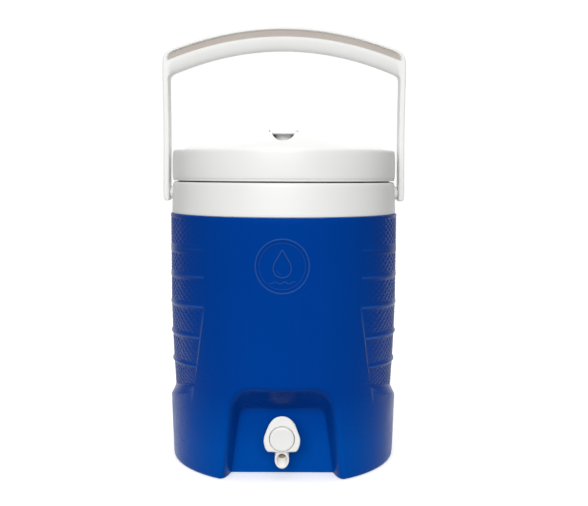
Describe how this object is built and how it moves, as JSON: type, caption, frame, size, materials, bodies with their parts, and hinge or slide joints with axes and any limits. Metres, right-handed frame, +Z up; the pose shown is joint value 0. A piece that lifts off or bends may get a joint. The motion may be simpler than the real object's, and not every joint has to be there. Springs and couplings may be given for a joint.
{
  "type": "insulated beverage jug",
  "caption": "Round insulated drinks jug with a lift-off domed lid, swing-over bail handle and a push-button spigot in a front alcove.",
  "frame": {"origin": "centre of the base, on the surface the jug stands on", "axes": "+Z up through the lid, front with the spigot towards -Y, bail hinge parallel to X"},
  "size_m": [0.2624, 0.2469, 0.4658],
  "materials": {
    "blue_shell": "satin",
    "white_shell": "satin",
    "white_handle": "satin",
    "natural_liner": "satin",
    "white_spigot": "satin",
    "button_plastic": "satin",
    "foam": "matte",
    "rubber": "matte",
    "gasket_silicone": "matte",
    "spring_steel": "satin"
  },
  "bodies": {
    "cooler": {"outer_shell": "blue_shell", "inner_liner": "natural_liner", "insulation_foam": "foam", "collar_ring": "white_shell", "foam_fill_plug": "blue_shell", "spigot_body": "white_spigot", "spigot_washer_outer": "rubber", "spigot_washer_inner": "rubber", "spigot_lock_nut": "white_spigot", "button_spring": "spring_steel"},
    "lid": {"lid_shell": "white_shell", "lid_grip_bar": "white_shell", "lid_liner": "natural_liner", "lid_insulation": "foam", "lid_gasket": "gasket_silicone", "lid_fill_plug": "natural_liner"},
    "bail": {"bail_handle": "white_handle"},
    "button": {"push_button": "button_plastic", "valve_stem": "button_plastic", "valve_seal": "rubber"}
  },
  "joints": [
    {"name": "lid_lift", "type": "slide", "parent": "cooler", "child": "lid", "axis": [0, 0, 1], "range_m": [0, 0.06]},
    {"name": "bail_swing", "type": "hinge", "parent": "cooler", "child": "bail", "pos_m": [0, 0, 0.288], "axis": [1, 0, 0], "range_deg": [-120, 120]},
    {"name": "button_press", "type": "slide", "parent": "cooler", "child": "button", "axis": [0, 1, 0], "range_m": [0, 0.0045], "stiffness_N_per_m": 1200, "springref_m": -0.002, "deforming": ["button_spring"]}
  ]
}
